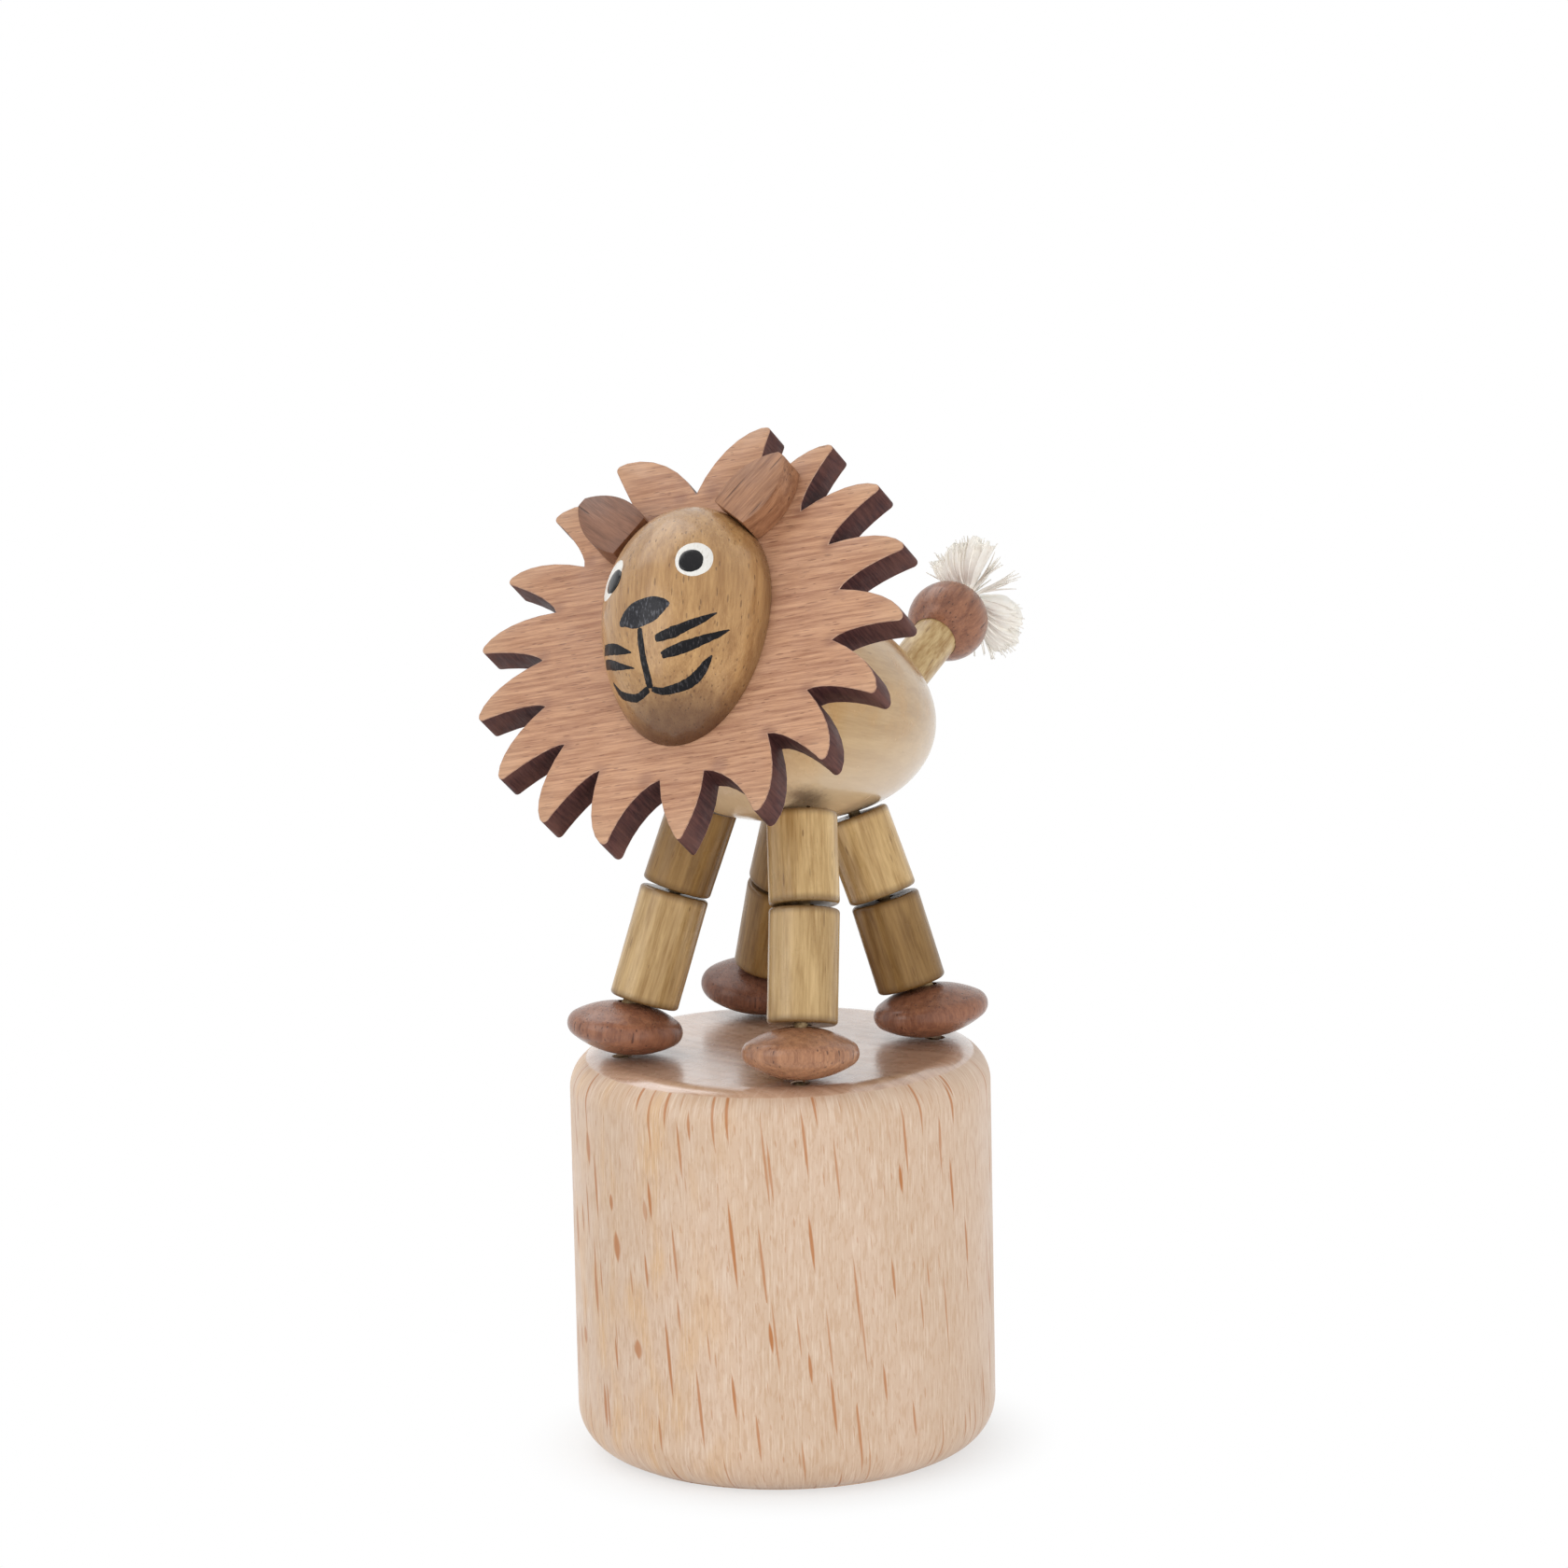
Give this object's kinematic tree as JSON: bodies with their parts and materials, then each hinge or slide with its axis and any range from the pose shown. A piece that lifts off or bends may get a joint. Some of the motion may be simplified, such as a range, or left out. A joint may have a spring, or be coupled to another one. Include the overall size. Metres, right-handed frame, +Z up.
{
  "type": "push puppet",
  "caption": "Wooden lion push puppet: a bead-legged lion threaded onto a turned beech base with a sprung button below; pressing the button slackens the threads and the lion bows.",
  "frame": {"origin": "centre of the base underside, on its axis", "axes": "+Z up along the base axis; the lion faces -Y; +X is the lion's left"},
  "size_m": [0.0354, 0.0526, 0.0784],
  "materials": {
    "beech": "clear lacquer, satin",
    "torso_wood": "clear varnish, gloss",
    "leg_wood": "clear varnish, satin",
    "stained_wood": "reddish-brown stain, satin",
    "mane_wood": "flat plate, burnt edges",
    "face_wood": "golden-brown varnish with painted features",
    "ear_wood": "brown stain, satin",
    "spring_steel": "drawn wire",
    "thread": "twisted cotton thread",
    "cotton": "frayed cotton"
  },
  "bodies": {
    "base": {"base_block": "beech", "return_spring": "spring_steel", "base_threads": "thread"},
    "button": {"push_button": "beech", "thread_knots": "thread"},
    "torso": {"torso": "torso_wood", "front_body_thread": "thread", "rear_body_thread": "thread", "tail_stem": "leg_wood", "tail_bead": "stained_wood", "tail_tuft": "cotton"},
    "neck": {"neck_thread": "thread"},
    "head": {"mane": "mane_wood", "face": "face_wood", "left_ear": "ear_wood", "right_ear": "ear_wood"},
    "front_left_foot": {"front_left_foot": "stained_wood", "front_left_foot_thread": "thread"},
    "front_left_lower": {"front_left_lower_leg": "leg_wood", "front_left_lower_thread": "thread"},
    "front_left_upper": {"front_left_upper_leg": "leg_wood", "front_left_upper_thread": "thread"},
    "front_right_foot": {"front_right_foot": "stained_wood", "front_right_foot_thread": "thread"},
    "front_right_lower": {"front_right_lower_leg": "leg_wood", "front_right_lower_thread": "thread"},
    "front_right_upper": {"front_right_upper_leg": "leg_wood", "front_right_upper_thread": "thread"},
    "rear_left_foot": {"rear_left_foot": "stained_wood", "rear_left_foot_thread": "thread"},
    "rear_left_lower": {"rear_left_lower_leg": "leg_wood", "rear_left_lower_thread": "thread"},
    "rear_left_upper": {"rear_left_upper_leg": "leg_wood", "rear_left_upper_thread": "thread"},
    "rear_right_foot": {"rear_right_foot": "stained_wood", "rear_right_foot_thread": "thread"},
    "rear_right_lower": {"rear_right_lower_leg": "leg_wood", "rear_right_lower_thread": "thread"},
    "rear_right_upper": {"rear_right_upper_leg": "leg_wood", "rear_right_upper_thread": "thread"}
  },
  "joints": [
    {"name": "button_press", "type": "slide", "parent": "base", "child": "button", "axis": [0, 0, 1], "range_m": [0, 0.005], "stiffness_N_per_m": 250, "springref_m": -0.008, "deforming": ["return_spring", "base_threads"]},
    {"name": "rear_left_foot_rock", "type": "hinge", "parent": "base", "child": "rear_left_foot", "pos_m": [0.00749, 0.00817, 0.0384], "axis": [1, 0, 0], "range_deg": [-8.05, 0.05]},
    {"name": "rear_left_ankle", "type": "hinge", "parent": "rear_left_foot", "child": "rear_left_lower", "pos_m": [0.00891, 0.00864, 0.02795], "axis": [1, 0, 0], "range_deg": [-16.05, 0.05]},
    {"name": "rear_left_knee", "type": "hinge", "parent": "rear_left_lower", "child": "rear_left_upper", "pos_m": [0.00484, 0.00991, 0.04206], "axis": [1, 0, 0], "range_deg": [-14.05, 0.05]},
    {"name": "rear_left_hip", "type": "hinge", "parent": "rear_left_upper", "child": "torso", "pos_m": [0.00256, 0.00402, 0.04791], "axis": [1, 0, 0], "range_deg": [-0.05, 49.04]},
    {"name": "rear_right_hip", "type": "hinge", "parent": "torso", "child": "rear_right_upper", "pos_m": [-0.00256, 0.00402, 0.04791], "axis": [1, 0, 0], "range_deg": [-49.04, 0.05]},
    {"name": "rear_right_knee", "type": "hinge", "parent": "rear_right_upper", "child": "rear_right_lower", "pos_m": [-0.00484, 0.00991, 0.04206], "axis": [1, 0, 0], "range_deg": [-0.05, 14.05]},
    {"name": "rear_right_ankle", "type": "hinge", "parent": "rear_right_lower", "child": "rear_right_foot", "pos_m": [-0.00891, 0.00864, 0.02795], "axis": [1, 0, 0], "range_deg": [-0.05, 16.05]},
    {"name": "front_left_hip", "type": "hinge", "parent": "torso", "child": "front_left_upper", "pos_m": [0.00451, -0.00519, 0.05083], "axis": [1, 0, 0], "range_deg": [-55.09, 0.05]},
    {"name": "front_left_knee", "type": "hinge", "parent": "front_left_upper", "child": "front_left_lower", "pos_m": [0.00605, -0.00211, 0.04261], "axis": [1, 0, 0], "range_deg": [-0.05, 37.61]},
    {"name": "front_left_ankle", "type": "hinge", "parent": "front_left_lower", "child": "front_left_foot", "pos_m": [0.0086, -0.0092, 0.02796], "axis": [1, 0, 0], "range_deg": [-0.05, 8.03]},
    {"name": "front_right_hip", "type": "hinge", "parent": "torso", "child": "front_right_upper", "pos_m": [-0.00451, -0.00519, 0.05083], "axis": [1, 0, 0], "range_deg": [-55.09, 0.05]},
    {"name": "front_right_knee", "type": "hinge", "parent": "front_right_upper", "child": "front_right_lower", "pos_m": [-0.00605, -0.00211, 0.04261], "axis": [1, 0, 0], "range_deg": [-0.05, 37.61]},
    {"name": "front_right_ankle", "type": "hinge", "parent": "front_right_lower", "child": "front_right_foot", "pos_m": [-0.0086, -0.0092, 0.02796], "axis": [1, 0, 0], "range_deg": [-0.05, 8.03]},
    {"name": "head_nod", "type": "hinge", "parent": "torso", "child": "neck", "pos_m": [0, -0.00792, 0.06249], "axis": [1, 0, 0], "range_deg": [-0.05, 20.05]},
    {"name": "head_swivel", "type": "hinge", "parent": "neck", "child": "head", "pos_m": [0, -0.00792, 0.06249], "axis": [0, -0.7858, 0.6184], "range_deg": [-60, 60]}
  ],
  "couplings": [
    {"joint": "rear_left_foot_rock", "follows": "button_press", "rad_per_m": -27.925},
    {"joint": "rear_left_ankle", "follows": "button_press", "rad_per_m": -55.851},
    {"joint": "rear_left_knee", "follows": "button_press", "rad_per_m": -48.869},
    {"joint": "rear_left_hip", "follows": "button_press", "rad_per_m": 171.01},
    {"joint": "rear_right_hip", "follows": "button_press", "rad_per_m": -171.01},
    {"joint": "rear_right_knee", "follows": "button_press", "rad_per_m": 48.869},
    {"joint": "rear_right_ankle", "follows": "button_press", "rad_per_m": 55.851},
    {"joint": "front_left_hip", "follows": "button_press", "rad_per_m": -192.13},
    {"joint": "front_left_knee", "follows": "button_press", "rad_per_m": 131.11},
    {"joint": "front_left_ankle", "follows": "button_press", "rad_per_m": 27.855},
    {"joint": "front_right_hip", "follows": "button_press", "rad_per_m": -192.13},
    {"joint": "front_right_knee", "follows": "button_press", "rad_per_m": 131.11},
    {"joint": "front_right_ankle", "follows": "button_press", "rad_per_m": 27.855},
    {"joint": "head_nod", "follows": "button_press", "rad_per_m": 69.813}
  ]
}
